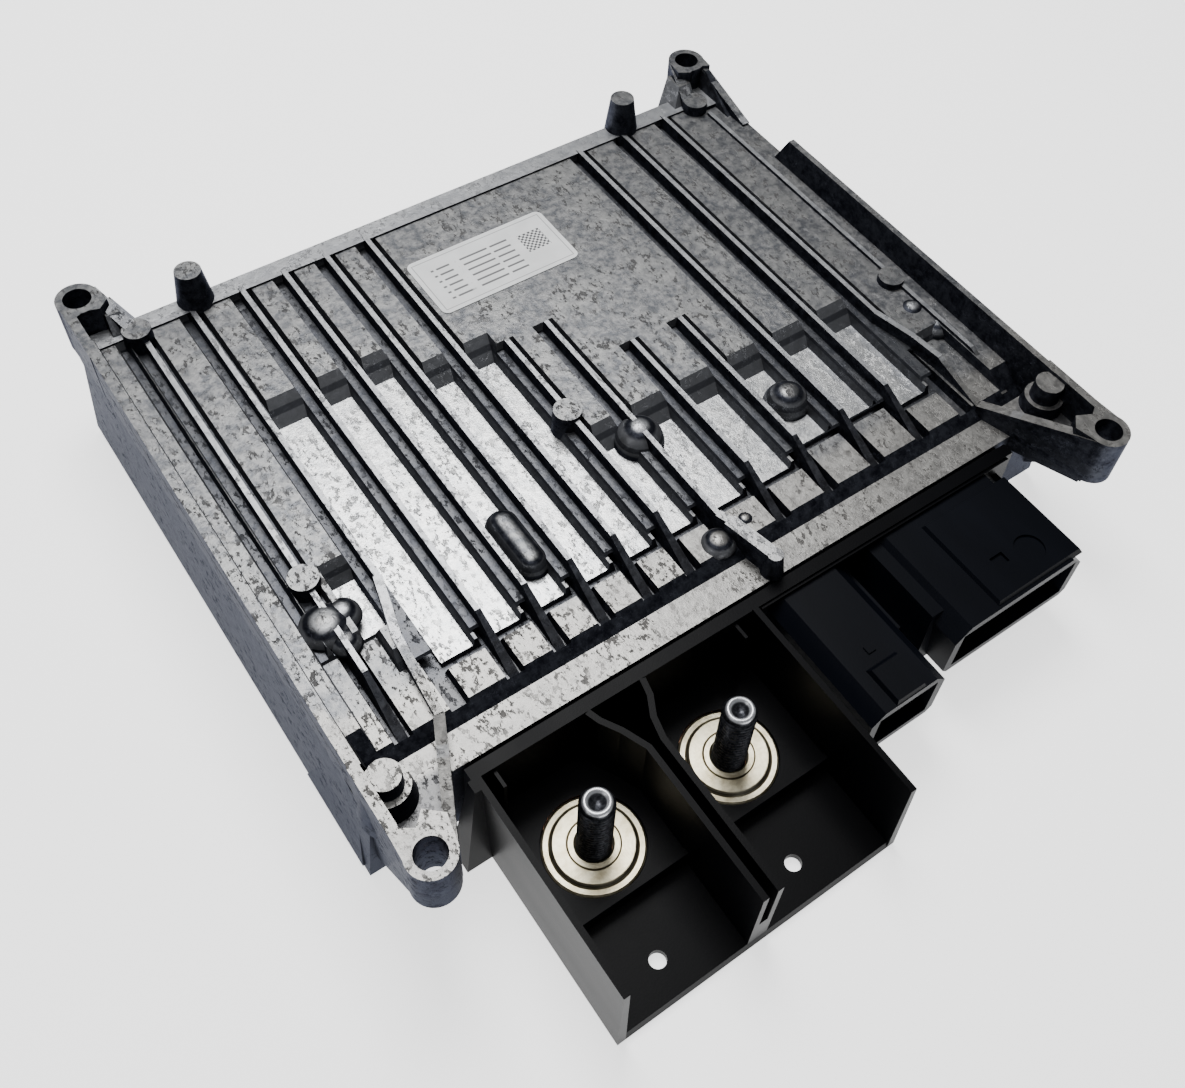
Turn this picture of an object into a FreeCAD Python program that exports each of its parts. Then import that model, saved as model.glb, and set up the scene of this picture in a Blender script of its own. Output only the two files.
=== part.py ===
import FreeCAD, Part
import os
import re

import Sketcher
from FreeCAD import Placement, Rotation, Vector

# 48 V to 12 V converter for a battery system: a finned die-cast housing that carries a
# circuit board, with two stud terminals and two plug connectors along its front edge.
# Millimetres, +Z up. The origin lies on the resting face, under the centre of the four
# mounting holes. +Y points away from the connectors.

doc = FreeCAD.newDocument("Converter")
sheet = doc.addObject("Spreadsheet::Sheet", "Dimensions")

DIMENSIONS = {
    # mounting ears
    "hole_x": 95.0, "hole_y": 86.35, "hole_r": 3.5, "ear_r": 5.4, "ear_top": 42.0, "ear_foot": 26.0,
    # housing block
    "side_x": 99.8, "side_flare": 2.8, "front_y": -68.4, "back_y": 80.9, "cover_top": 2.0,
    "plateau_top": 33.9, "fin_top": 34.8, "rim_top": 34.5, "valley_floor": 31.3,
    "pad_top": 30.5, "pocket_floor": 28.3, "lip_top": 28.0, "side_wall_top": 42.0,
    "side_wall_thick": 1.5, "rim_front": 75.0,
    # cooling fins
    "fin_first": -85.2, "pitch_left": 13.85, "pitch_mid": 12.1, "pitch_right": 15.2,
    "fin_half_top": 0.66, "fin_half_root": 1.35, "fin_nose": -41.4, "fin_root_end": -60.0,
    "valley_left": 3.9, "valley_right": 2.5, "valley_drop": 3.0,
    # cavity
    "cavity_x": 95.5, "cavity_front": -62.4, "cavity_back": 75.0, "cavity_roof": 24.6,
    "roof_high": 29.0, "roof_high_front": 42.0, "cooling_bar_under": 15.4,
    # circuit board
    "board_under": 7.0, "board_thick": 1.6, "board_x": 91.0, "board_front": -57.0, "board_back": 70.0,
    "board_post_x": 84.0, "board_post_front": -46.0, "board_post_back": 62.0,
    # terminals
    "stud_left": -59.7, "stud_right": -22.2, "stud_y": -91.35, "stud_r": 4.0, "stud_tip": 30.0,
    "bar_under": 3.5, "bar_thick": 1.6, "bar_half": 7.0, "washer_r": 11.7, "washer_top": 7.4,
    # header and terminal bays
    "header_left": -78.2, "header_right": 81.5, "header_front": -72.4, "header_back": -69.2,
    "header_top": 27.6, "bay_left": -77.7, "bay_right": -2.1, "bay_front": -127.3, "bay_wall": 1.5,
    "bay_floor": 2.0, "seat_top": 6.6, "seat_front": -104.8, "bay_top": 28.4,
    # connectors
    "signal_left": 2.1, "signal_right": 24.5, "signal_front": -109.0,
    "power_left": 33.1, "power_right": 75.7, "power_front": -103.8,
    "plug_low": 8.0, "plug_high": 26.0, "plug_wall": 1.8,
    # cover
    "cover_x": 101.2, "cover_front": -67.6, "cover_back": 80.0, "cover_screw_x": 98.7,
    "screw_r": 1.5, "screw_head_r": 2.2, "vent_x": 60.0, "vent_y": 40.0,
    # label
    "label_x": 3.6, "label_y": 50.4, "label_long": 42.4, "label_wide": 21.2, "label_thick": 0.25,
}
for row, (alias, value) in enumerate(DIMENSIONS.items(), start=1):
    sheet.set(f"A{row}", alias)
    sheet.set(f"B{row}", str(value))
    sheet.setAlias(f"B{row}", alias)
doc.recompute()


def on_sheet(formula):
    """An expression with every alias in it pointed at the sheet."""
    return re.sub(r"[a-z]\w+", lambda word: "Dimensions." + word.group(), str(formula))


def worth(formula):
    """The number that a formula on the sheet's aliases comes to now."""
    value = re.sub(r"[a-z]\w+", lambda word: str(DIMENSIONS[word.group()]), str(formula))
    total = doc.addObject("App::FeaturePython", "Sum")
    total.addProperty("App::PropertyFloat", "Value")
    total.setExpression("Value", value)
    total.recompute()
    number = total.Value
    doc.removeObject(total.Name)
    return number


def bind(item, **formulas):
    """Drive properties of an item by formulas on the sheet."""
    for name, formula in formulas.items():
        item.setExpression(name, on_sheet(formula))


def span(ends):
    """The formula for the distance between two places on one axis."""
    return f"({ends[1]}) - ({ends[0]})"


def place(item, x, y, z):
    item.setExpression("Placement.Base.x", on_sheet(x))
    item.setExpression("Placement.Base.y", on_sheet(y))
    item.setExpression("Placement.Base.z", on_sheet(z))


# ---------------------------------------------------------------- primitives


def block(name, x, y, z):
    """A box between two places on each axis."""
    item = doc.addObject("Part::Box", name)
    bind(item, Length=span(x), Width=span(y), Height=span(z))
    place(item, x[0], y[0], z[0])
    return item


def post(name, x, y, z, radius):
    """An upright cylinder."""
    item = doc.addObject("Part::Cylinder", name)
    bind(item, Radius=radius, Height=span(z))
    place(item, x, y, z[0])
    return item


def cone(name, x, y, z, low_radius, high_radius):
    """An upright tapered post."""
    item = doc.addObject("Part::Cone", name)
    bind(item, Radius1=low_radius, Radius2=high_radius, Height=span(z))
    place(item, x, y, z[0])
    return item


def dome(name, x, y, z, radius, height):
    """A low rounded blister, the upper half of a flattened ball."""
    item = doc.addObject("Part::Ellipsoid", name)
    bind(item, Radius1=height, Radius2=radius, Radius3=radius, Angle1=0)
    place(item, x, y, z)
    return item


def taper(name, z, low, high):
    """A solid between two level rectangles, each (left, right, front, back)."""
    item = doc.addObject("Part::Wedge", name)
    bind(item, Xmin=low[0], Xmax=low[1], Zmin=f"-({low[3]})", Zmax=f"-({low[2]})", Ymin=z[0], Ymax=z[1],
         X2min=high[0], X2max=high[1], Z2min=f"-({high[3]})", Z2max=f"-({high[2]})")
    item.Placement = Placement(Vector(), Rotation(Vector(1, 0, 0), 90))
    return item


def web(name, start, end, thick, start_z, end_z):
    """An upright plate between two plan points, with its own bottom and top at each end."""
    run = Vector(end[0] - start[0], end[1] - start[1], 0)
    item = doc.addObject("Part::Wedge", name)
    half = f"({thick}) / 2"
    bind(item, Xmin=f"-{half}", Xmax=half, X2min=f"-{half}", X2max=half, Ymin=0, Ymax=run.Length,
         Zmin=start_z[0], Zmax=start_z[1], Z2min=end_z[0], Z2max=end_z[1])
    item.Placement = Placement(Vector(start[0], start[1], 0), Rotation(Vector(0, 1, 0), run))
    return item


def joined(name, pieces):
    item = doc.addObject("Part::MultiFuse", name)
    item.Shapes = pieces
    item.Refine = True
    return item


def minus(name, base, tools):
    item = doc.addObject("Part::Cut", name)
    item.Base = base
    item.Tool = tools[0] if len(tools) == 1 else joined(name + "Tools", tools)
    item.Refine = True
    return item


# ---------------------------------------------------------------- sketched bodies


def body(name):
    return doc.addObject("PartDesign::Body", name)


def sketch(owner, role, offset=0):
    """A sketch on one of the body's own origin planes, moved along the plane's normal."""
    plane = next(face for face in owner.Origin.OriginFeatures if face.Role == role)
    item = owner.newObject("Sketcher::SketchObject", owner.Name + "Sketch")
    item.AttachmentSupport = (plane, [""])
    item.MapMode = "FlatFace"
    item.setExpression("AttachmentOffset.Base.z", on_sheet(offset))
    return item


def fix(item, kind, geometry, point, formula):
    """Hold one coordinate of a point at a formula."""
    number = item.addConstraint(Sketcher.Constraint(kind, -1, 1, geometry, point, worth(formula)))
    item.setExpression(f"Constraints[{number}]", on_sheet(formula))


def outline(item, points):
    """A closed outline of straight lines through points given by formulas."""
    first = item.GeometryCount
    spots = [Vector(worth(x), worth(y), 0) for x, y in points]
    for index, spot in enumerate(spots):
        item.addGeometry(Part.LineSegment(spot, spots[(index + 1) % len(spots)]))
    for index in range(len(spots)):
        following = first + (index + 1) % len(spots)
        item.addConstraint(Sketcher.Constraint("Coincident", first + index, 2, following, 1))
    for index, (x, y) in enumerate(points):
        fix(item, "DistanceX", first + index, 1, x)
        fix(item, "DistanceY", first + index, 1, y)


def rectangle(item, x, y):
    outline(item, [(x[0], y[0]), (x[1], y[0]), (x[1], y[1]), (x[0], y[1])])


def circle(item, x, y, radius):
    centre = Vector(worth(x), worth(y), 0)
    number = item.addGeometry(Part.Circle(centre, Vector(0, 0, 1), worth(radius)))
    fix(item, "DistanceX", number, 3, x)
    fix(item, "DistanceY", number, 3, y)
    size = item.addConstraint(Sketcher.Constraint("Radius", number, worth(radius)))
    item.setExpression(f"Constraints[{size}]", on_sheet(radius))


def pad(owner, profile, length, both_ways=False):
    item = owner.newObject("PartDesign::Pad", owner.Name + "Pad")
    item.Profile = profile
    item.Midplane = both_ways
    item.setExpression("Length", on_sheet(length))
    profile.Visibility = False
    doc.recompute()
    return item


def pocket(owner, profile, length, against=False):
    """Cut a sketched outline out of the body, and make sure that it removed something."""
    before = owner.Shape.Volume
    item = owner.newObject("PartDesign::Pocket", owner.Name + "Pocket")
    item.Profile = profile
    item.Reversed = against
    item.setExpression("Length", on_sheet(length))
    doc.recompute()
    if owner.Shape.Volume > before - 1e-6:
        raise RuntimeError(f"{owner.Name}: a pocket cuts nothing")
    return item


def turned(name, points, x, y):
    """A body turned about an upright axis from its half profile of (radius, height) points."""
    owner = body(name)
    profile = sketch(owner, "XZ_Plane")
    outline(profile, points)
    item = owner.newObject("PartDesign::Revolution", name + "Turn")
    item.Profile = profile
    item.ReferenceAxis = (profile, ["V_Axis"])
    item.Angle = 360
    place(owner, x, y, 0)
    doc.recompute()
    return owner


def round_off(owner, radius, wanted):
    """Round those edges of the body that the test picks."""
    base = owner.Tip
    names = [f"Edge{number}" for number, edge in enumerate(base.Shape.Edges, start=1) if wanted(edge)]
    item = owner.newObject("PartDesign::Fillet", owner.Name + "Round")
    item.Base = (base, names)
    item.setExpression("Radius", on_sheet(radius))
    doc.recompute()
    return item


def upright(edge):
    ends = [vertex.Point for vertex in edge.Vertexes]
    return len(ends) == 2 and abs(abs(ends[0].z - ends[1].z) - edge.Length) < 1e-6


subparts = []


def hand_in(item, node):
    item.Label = node
    subparts.append(item)
    return item


# ---------------------------------------------------------------- cast housing

# The fins stand at three pitches: close to the left wall, across the middle, and on the right.
FIN_RUNS = [(2, "pitch_left"), (5, "pitch_mid"), (5, "pitch_right")]


def fin_places():
    places = ["fin_first"]
    for count, pitch in FIN_RUNS:
        start = places[-1]
        places += [f"{start} + {step} * {pitch}" for step in range(1, count + 1)]
    return places


FINS = fin_places()
LEFT_EDGE, BENT_LEFT, HEAD_FIN, BENT_RIGHT = 0, 1, 7, 12
# Where the shorter fins end at the back, and the pockets that end elsewhere than their row does.
FIN_BACKS = {6: 24.5, 7: 24.5, 8: 7.0, 9: 7.0}
POCKET_BACKS = {1: 32.9, 2: 32.9, 3: 32.9, 4: 23.4, 5: 23.4}
POCKET_FRONTS = {9: -41.6, 10: -41.6}
# Where the straight run of each bent fin ends: at its top, and at its root.
STRAIGHT_ENDS = {BENT_LEFT: (-22.0, -22.2), HEAD_FIN: (-50.4, -50.6), BENT_RIGHT: (-21.0, -21.2)}
SIDES = ((-1, "Left"), (1, "Right"))


def housing_blank():
    """The block that the fins and pockets are cut in: its sides lean out towards the cover."""
    foot = ("-side_x - side_flare", "side_x + side_flare", "front_y", "back_y + 1")
    top = ("-side_x", "side_x", "front_y", "back_y")
    lower = taper("BlockLower", ("cover_top", "lip_top"), foot, top)
    upper = taper("BlockUpper", ("lip_top", "plateau_top"), ("-side_x", "side_x", "-60.4", "back_y"),
                  ("-side_x", "side_x", "-52.0", "back_y"))
    rim = block("BackRim", ("-side_x + 3", "side_x - 3"), ("rim_front", "back_y - 0.4"),
                ("valley_floor - 1.3", "rim_top"))
    bulge = taper("SideBulge", (3, 24), ("-side_x - 3.2", "-side_x + 4", -66, -40),
                  ("-side_x", "-side_x + 4", -62, -50))
    return [lower, upper, rim, bulge]


def side_walls():
    """Tall thin walls along both sides, which stand above the fins and run into the ears."""
    inside = "side_x - 1.6 * side_wall_thick"
    left = taper("LeftWall", ("plateau_top - 4", "side_wall_top"),
                 ("-side_x", f"-({inside}) + 0.6", "-hole_y", "hole_y"),
                 ("-side_x + 0.1", f"-({inside})", "-hole_y", "hole_y"))
    right = taper("RightWall", ("plateau_top - 4", "side_wall_top"),
                  ("side_x - 3.4", "side_x", -66, 46), (inside, "side_x - 0.6", -66, 40))
    cheek = taper("RightCheek", ("plateau_top - 4", "ear_top - 1"),
                  ("side_x - 4.5", "side_x", 58, 85), ("side_x - 2.2", "side_x - 0.6", 80, 85))
    ledge = taper("LeftLedge", ("plateau_top - 2", "plateau_top + 2"),
                  ("-side_x", "-side_x + 4.6", -60, 78), ("-side_x", "-side_x + 3.6", -60, 77))
    rail = taper("RightRail", ("plateau_top - 4", "fin_top"),
                 (91.2, 93.2, -58, 70), (91.6, 92.8, -44, 70))
    return [left, right, cheek, ledge, rail]


def area_cuts():
    """The sunken areas between the fins: long pockets, and a row of pads along the front."""
    step = ("pad_top", "fin_top + 2")
    deep = ("pocket_floor", "plateau_top + 0.2")
    cuts = [taper("PadStep", step, (-84.5, 91.2, -62, -43.5), (-84.5, 91.2, -66, -36)),
            taper("PadStepRight", step, (79.5, 91.2, -62, -34), (79.5, 91.2, -66, -30)),
            taper("FrontSlope", ("lip_top", "pad_top + 2.5"), (-86, 97, -75, -60.5), (-86, 97, -75, -53.3)),
            taper("PocketSmall", deep, (-80.6, -74.8, -31.5, -15.7), (-81.4, -74.0, -33.5, -11.5))]
    for gap in range(BENT_LEFT, BENT_RIGHT):
        back = POCKET_BACKS.get(gap, -16.7)
        front = POCKET_FRONTS.get(gap, -45.3)
        left, right = f"{FINS[gap]} + 1.9", f"{FINS[gap + 1]} - 3.9"
        high = (f"{left} - 1.3", f"{right} + 1.4", front - 2.6, f"{back} + 5.8")
        cuts.append(taper(f"Pocket{gap}", deep, (left, right, front, back), high))
    return cuts


def valley_cuts():
    """A valley runs beside every fin, deeper wherever the surface around it is lower."""
    deep = ("valley_floor", "plateau_top + 0.3")
    cuts = [taper("LeftChannel", deep, (-91.4, -89.6, -56, 74), (-92.3, -89.0, -58, 75)),
            taper("LeftFlat", ("pad_top", "plateau_top + 0.3"), (-91.5, -78.5, -66, -33),
                  (-91.5, -77.5, -66, -31))]
    for index, fin in enumerate(FINS):
        back = FIN_BACKS.get(index, "rim_front + 1")
        left, right = f"{fin} - valley_left", f"{fin} + valley_right"
        floor = (f"{left} + 0.9", f"{right} - 0.7", -50, f"({back}) - 0.9")
        cuts.append(taper(f"Valley{index}", deep, floor, (left, right, -50, back)))
        cuts.append(taper(f"ValleyPad{index}", ("pad_top - valley_drop", "pad_top + 0.3"),
                          (f"{fin} - 2.0", f"{fin} + 1.6", -57.5, -14),
                          (f"{fin} - 2.7", f"{fin} + 2.1", -57.5, -14)))
    for gap in range(BENT_LEFT, BENT_RIGHT):
        left, right = FINS[gap], FINS[gap + 1]
        middle = -43.2 if gap in POCKET_FRONTS else -46.8
        cuts.append(taper(f"Cross{gap}", ("pocket_floor - 0.9", "pad_top + 0.3"),
                          (left, right, middle - 0.5, middle + 0.9),
                          (left, right, middle - 1.6, middle + 1.6)))
    return cuts


def fins():
    """Straight drafted fins that slope down at the front, and three that bend near the front."""
    made = []
    for index, fin in enumerate(FINS):
        back = FIN_BACKS.get(index, "rim_front + 2")
        nose, root = STRAIGHT_ENDS.get(index, ("fin_nose", "fin_root_end"))
        made.append(taper(f"Fin{index}", ("pocket_floor - 2.6", "fin_top"),
                          (f"{fin} - fin_half_root", f"{fin} + fin_half_root", root, back),
                          (f"{fin} - fin_half_top", f"{fin} + fin_half_top", nose, f"({back}) - 0.8")))
    full, foot = (25.0, worth("fin_top")), (25.0, worth("pad_top"))
    left_x, head_x, right_x = (worth(FINS[index]) for index in (BENT_LEFT, HEAD_FIN, BENT_RIGHT))
    made += [web("BentLeftA", (left_x, -21.6), (-75.4, -37.3), 2.1, full, full),
             web("BentLeftB", (-75.4, -37), (-76.7, -57.2), 2.1, full, (25.0, worth("pad_top") + 1.5)),
             post("BentLeftTurn", -75.4, -37.15, (25.0, "fin_top"), 1.05),
             web("HeadA", (head_x, -49.8), (head_x + 1.2, -53.2), 2.0, full, full),
             web("HeadB", (head_x + 1.1, -52.7), (7.0, -66.4), 3.4, full, full),
             cone("HeadNose", 7.0, -66.4, ("lip_top - 0.1", "fin_top"), 2.9, 1.9),
             web("BentRightA", (right_x, -20.6), (81.6, -32.1), 1.6, full, full),
             web("BentRightB", (81.6, -31.8), (82.6, -42), 1.6, full, full),
             web("BentRightC", (82.6, -41.4), (82.6, -58.5), 1.6, full, foot)]
    return made


def bosses():
    """Round ejector bosses, tapered back bosses and the low blisters between the fins."""
    spots = [(-86.1, 74.3, 37.0), (89.9, 74.3, 37.0), (-85.4, -13.8, 35.8), (91.0, -13.3, 35.8),
             (-9.5, -5.1, 35.8), (-94.4, -67.0, 41.0), (94.9, -67.0, 41.0)]
    made = [cone(f"Boss{number}", x, y, (24.8, top), 4.3, 3.6) for number, (x, y, top) in enumerate(spots)]
    made += [cone("CollarLeft", -94.4, -67.0, (24.8, 36.5), 7.0, 5.2),
             cone("CollarRight", 94.9, -67.0, (24.8, 36.0), 6.6, 5.0)]
    for number, x in enumerate((-68.8, 65.6)):
        made.append(cone(f"BackBoss{number}", x, 78.7, (24, 44.5), 6.2, 3.4))
    blisters = [(-86.6, -25.5, 31.5, 6.0, 4.0), (-82.0, -24.5, 31.0, 4.4, 3.6),
                (-84.6, -31.2, 31.0, 3.6, 3.2), (3.2, -18.2, 28.0, 6.5, 7.2),
                (42.5, -28.6, 27.6, 6.2, 6.4), (89.5, -23.9, 31.0, 4.0, 3.8),
                (92.0, -31.7, 30.6, 3.8, 3.4), (0.1, -54.5, 29.4, 4.4, 3.4), (9.8, -52.4, 29.4, 2.2, 1.8)]
    made += [dome(f"Blister{number}", *spot) for number, spot in enumerate(blisters)]
    x, nose, tail, level, radius = -39.1, -34.4, -22.4, 28.6, 4.4
    barrel = doc.addObject("Part::Cylinder", "Barrel")
    bind(barrel, Radius=radius, Height=tail - nose)
    barrel.Placement = Placement(Vector(x, tail, level), Rotation(Vector(1, 0, 0), 90))
    made += [barrel, dome("BarrelNose", x, nose, level, radius, radius),
             dome("BarrelTail", x, tail, level, radius, radius)]
    return made


def plan_block(name, points, z):
    """An upright block over a plan outline."""
    owner = body(name)
    plan = sketch(owner, "XY_Plane", z[0])
    outline(plan, points)
    pad(owner, plan, span(z))
    return owner


def ears():
    """Four tall ears: a round leg at each hole, a shield-shaped face, and walls round a recess."""
    made = []
    leg = (26.0, 42.0)
    for side, name in SIDES:
        for depth, end in ((-1, "Front"), (1, "Back")):
            made.append(post(f"{name}{end}Leg", f"{side} * hole_x", f"{depth} * hole_y",
                             ("ear_foot + 1.4", "ear_top"), "ear_r"))
            made.append(cone(f"{name}{end}Foot", f"{side} * hole_x", f"{depth} * hole_y",
                             ("ear_foot", "ear_foot + 1.4"), "ear_r - 1.2", "ear_r"))
    shields = {
        "FrontLeft": [(-100.2, -86.4), (-99.9, -79.4), (-97.8, -78.4), (-94.8, -80.4), (-92.0, -77.6),
                      (-88.3, -81.0), (-89.8, -88.2)],
        "FrontRight": [(100.2, -86.4), (90.0, -88.2), (88.5, -81.4), (91.4, -78.6), (95.4, -80.6),
                       (99.7, -78.0)],
        "BackLeft": [(-100.2, 86.4), (-90.0, 88.4), (-88.8, 82.6), (-91.6, 80.2), (-95.2, 81.4),
                     (-99.9, 79.4)],
        "BackRight": [(100.2, 86.4), (99.7, 80.6), (96.0, 82.2), (92.4, 80.8), (89.2, 82.6), (89.9, 88.4)],
    }
    for name, points in shields.items():
        made.append(plan_block(name + "Shield", points, ("ear_foot + 0.6", "ear_top")))
    floors = {
        "FrontLeft": ([(-99.4, -84.0), (-91.0, -85.0), (-82.0, -66.0), (-99.4, -66.0)], 30.2),
        "FrontRight": ([(99.2, -84.0), (99.2, -62.0), (85.0, -62.0), (91.4, -85.0)], 32.4),
        "BackLeft": ([(-99.4, 84.0), (-99.4, 72.0), (-86.0, 72.0), (-90.4, 85.0)], 31.0),
        "BackRight": ([(99.2, 84.0), (90.6, 85.0), (88.0, 72.0), (99.2, 72.0)], 35.0),
    }
    for name, (points, top) in floors.items():
        made.append(plan_block(name + "Floor", points, ("ear_foot + 2", top)))
    made.append(web("FrontLeftRidge", (-91.5, -88.5), (-76.7, -57.0), 2.5, leg, (22.0, 31.8)))
    made.append(web("FrontRightRidge", (91.0, -87.3), (82.6, -57.6), 2.6, leg, (22.0, 31.4)))
    made.append(web("FrontLeftOuter", (-98.8, -86.35), (-98.8, -62), 2.2, leg, (2.0, 42.0)))
    made.append(web("FrontRightOuter", (98.6, -86.35), (98.6, -62), 2.2, leg, (2.0, 42.0)))
    made.append(web("BackLeftOuter", (-98.8, 86.35), (-98.8, 66), 2.2, leg, (14.0, 42.0)))
    made.append(web("BackLeftInner", (-91.2, 87.6), (-86.6, 75.4), 3.4, leg, (22.0, 36.6)))
    made.append(web("BackRightOuter", (98.6, 86.35), (98.6, 60), 2.4, leg, (14.0, 34.6)))
    made.append(web("BackRightInner", (91.2, 87.6), (88.2, 75.4), 3.4, leg, (22.0, 36.6)))
    flare = ("rim_top - 5", "ear_top - 3")
    made.append(taper("BackLeftFlare", flare, (-92, -82.5, 73, 81.6), (-91, -87.5, 80, 86)))
    made.append(taper("BackRightFlare", flare, (80.5, 92, 73, 81.6), (87.8, 92, 80, 86)))
    return made


def cavity_cuts():
    """The hollow under the fins, its seal rebate, the front openings and all the holes."""
    cuts = [taper("Cavity", (0, "cavity_roof"), ("-cavity_x", "cavity_x", "cavity_front", "cavity_back"),
                  ("-cavity_x + 1", "cavity_x - 1", "cavity_front + 0.6", "cavity_back - 0.6")),
            block("CavityHigh", (-88, 88), ("roof_high_front", 70), ("cavity_roof - 1", "roof_high")),
            block("SealRebate", ("-cavity_x - 1.5", "cavity_x + 1.5"),
                  ("cavity_front - 1.5", "cavity_back + 1.5"), (0, "cover_top + 1"))]
    cuts += plug_doors("Housing", (-75, -60), 3)
    for name, x in (("Left", "stud_left"), ("Right", "stud_right")):
        cuts.append(block(f"{name}BarDoor", (f"{x} - bar_half - 0.6", f"{x} + bar_half + 0.6"),
                          (-75, -60), ("bar_under - 0.3", "bar_under + bar_thick + 0.5")))
    for side, name in SIDES:
        for depth, end in ((-1, "Front"), (1, "Back")):
            cuts.append(post(f"{name}{end}Hole", f"{side} * hole_x", f"{depth} * hole_y", (20, 46), "hole_r"))
    for number, (x, y) in enumerate(cover_screw_spots()):
        cuts.append(post(f"CoverTap{number}", x, y, (0, 9), "screw_r + 0.02"))
    return cuts


def cover_screw_spots():
    """Four screws along each side, three along the back and three along the front."""
    spots = [(f"{side} * cover_screw_x", y) for side in (-1, 1) for y in (-60.0, -14.0, 32.0, 74.0)]
    spots += [(x, 78.6) for x in (-45.0, 0.0, 45.0)]
    return spots + [(x, -65.9) for x in (-74.0, -2.0, 60.0)]


def board_post_spots():
    columns = ("-board_post_x", 0, "board_post_x")
    return [(x, y) for x in columns for y in ("board_post_front", "board_post_back")]


def cast_housing():
    solid = joined("HousingBlock", housing_blank())
    carved = minus("HousingCarved", solid, area_cuts() + valley_cuts())
    walled = joined("HousingWalled", [carved] + side_walls() + fins() + bosses() + ears())
    hollow = minus("HousingHollow", walled, cavity_cuts())
    bar = block("CoolingBar", (-62, 62), (20, 36), ("cooling_bar_under", "cavity_roof + 1"))
    posts, taps = [], []
    for number, (x, y) in enumerate(board_post_spots()):
        high = "roof_high + 0.5" if y == "board_post_back" else "cavity_roof + 1"
        posts.append(cone(f"BoardPost{number}", x, y, ("board_under + board_thick", high), 3.2, 4.2))
        taps.append(post(f"BoardTap{number}", x, y, (0, 17), "screw_r + 0.02"))
    full = joined("HousingFull", [hollow, bar] + posts)
    return hand_in(minus("Housing", full, taps), "cast_housing")


# ---------------------------------------------------------------- cover and seal


def bottom_cover():
    owner = body("Cover")
    plan = sketch(owner, "XY_Plane")
    rectangle(plan, ("-cover_x", "cover_x"), ("cover_front", "cover_back"))
    pad(owner, plan, "cover_top")
    round_off(owner, 4, upright)
    stamp = sketch(owner, "XY_Plane", "cover_top")
    rectangle(stamp, (-86, 86), (-54, 66))
    pocket(owner, stamp, 0.6)
    tools = []
    for number, (x, y) in enumerate(cover_screw_spots()):
        tools.append(post(f"CoverHole{number}", x, y, (-1, 3), "screw_r + 0.1"))
        tools.append(cone(f"CoverSink{number}", x, y, (0, 1.4), "screw_head_r + 0.1", "screw_r + 0.1"))
    tools.append(post("VentHole", "vent_x", "vent_y", (-1, 4), 4.1))
    tools.append(post("VentRecess", "vent_x", "vent_y", (-1, 0.9), 5.7))
    hand_in(minus("CoverPlate", owner, tools), "bottom_cover")


def cover_screws():
    """Countersunk screws, flush with the resting face."""
    made = []
    for number, (x, y) in enumerate(cover_screw_spots()):
        head = cone(f"CoverHead{number}", x, y, (0.1, 1.5), "screw_head_r", "screw_r")
        shank = post(f"CoverShank{number}", x, y, (1.5, 8), "screw_r")
        drive = post(f"CoverDrive{number}", x, y, (0, 0.9), 1.1)
        blank = joined(f"CoverScrewBlank{number}", [head, shank])
        made.append(minus(f"CoverScrew{number}", blank, [drive]))
    group_of("CoverScrews", "cover_screws", made)


def cover_seal():
    owner = body("Seal")
    plan = sketch(owner, "XY_Plane", "cover_top")
    rectangle(plan, ("-cavity_x - 1.45", "cavity_x + 1.45"),
              ("cavity_front - 1.45", "cavity_back + 1.45"))
    rectangle(plan, ("-cavity_x", "cavity_x"), ("cavity_front", "cavity_back"))
    pad(owner, plan, 0.95)
    hand_in(owner, "cover_seal")


def vent_plug():
    """A pressed-in vent with a slotted face, a barbed shank and a flange in the cover's recess."""
    points = [(0, 0.3), (5.6, 0.3), (5.6, 0.9), (4.0, 0.9), (4.0, 4.6), (4.8, 5.2), (3.6, 6.2), (0, 6.2)]
    plug = turned("Vent", points, "vent_x", "vent_y")
    slots = [block(f"VentSlot{number}", (f"vent_x + {left}", f"vent_x + {left} + 1"),
                   ("vent_y - 4", "vent_y + 4"), (0, 0.6))
             for number, left in enumerate((-5.0, -2.6, -0.2, 2.2))]
    hand_in(minus("VentPlug", plug, slots), "vent_plug")


# ---------------------------------------------------------------- board and electronics


def group_of(name, node, pieces):
    group = doc.addObject("Part::Compound", name)
    group.Links = pieces
    return hand_in(group, node)


def circuit_board():
    owner = body("Board")
    plan = sketch(owner, "XY_Plane", "board_under")
    rectangle(plan, ("-board_x", "board_x"), ("board_front", "board_back"))
    pad(owner, plan, "board_thick")
    round_off(owner, 3, upright)
    holes = sketch(owner, "XY_Plane", "board_under + board_thick")
    for x, y in board_post_spots():
        circle(holes, x, y, "screw_r + 0.1")
    pocket(owner, holes, "board_thick + 1")
    hand_in(owner, "circuit_board")


def board_screws():
    made = []
    for number, (x, y) in enumerate(board_post_spots()):
        head = cone(f"BoardHead{number}", x, y, ("board_under - 2", "board_under"), 2.4, 2.9)
        shank = post(f"BoardShank{number}", x, y, ("board_under - 0.5", 16), "screw_r")
        drive = post(f"BoardDrive{number}", x, y, (4, "board_under - 0.9"), 1.2)
        blank = joined(f"BoardScrewBlank{number}", [head, shank])
        made.append(minus(f"BoardScrew{number}", blank, [drive]))
    group_of("BoardScrews", "board_screws", made)


BOARD_TOP = "board_under + board_thick"


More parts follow.
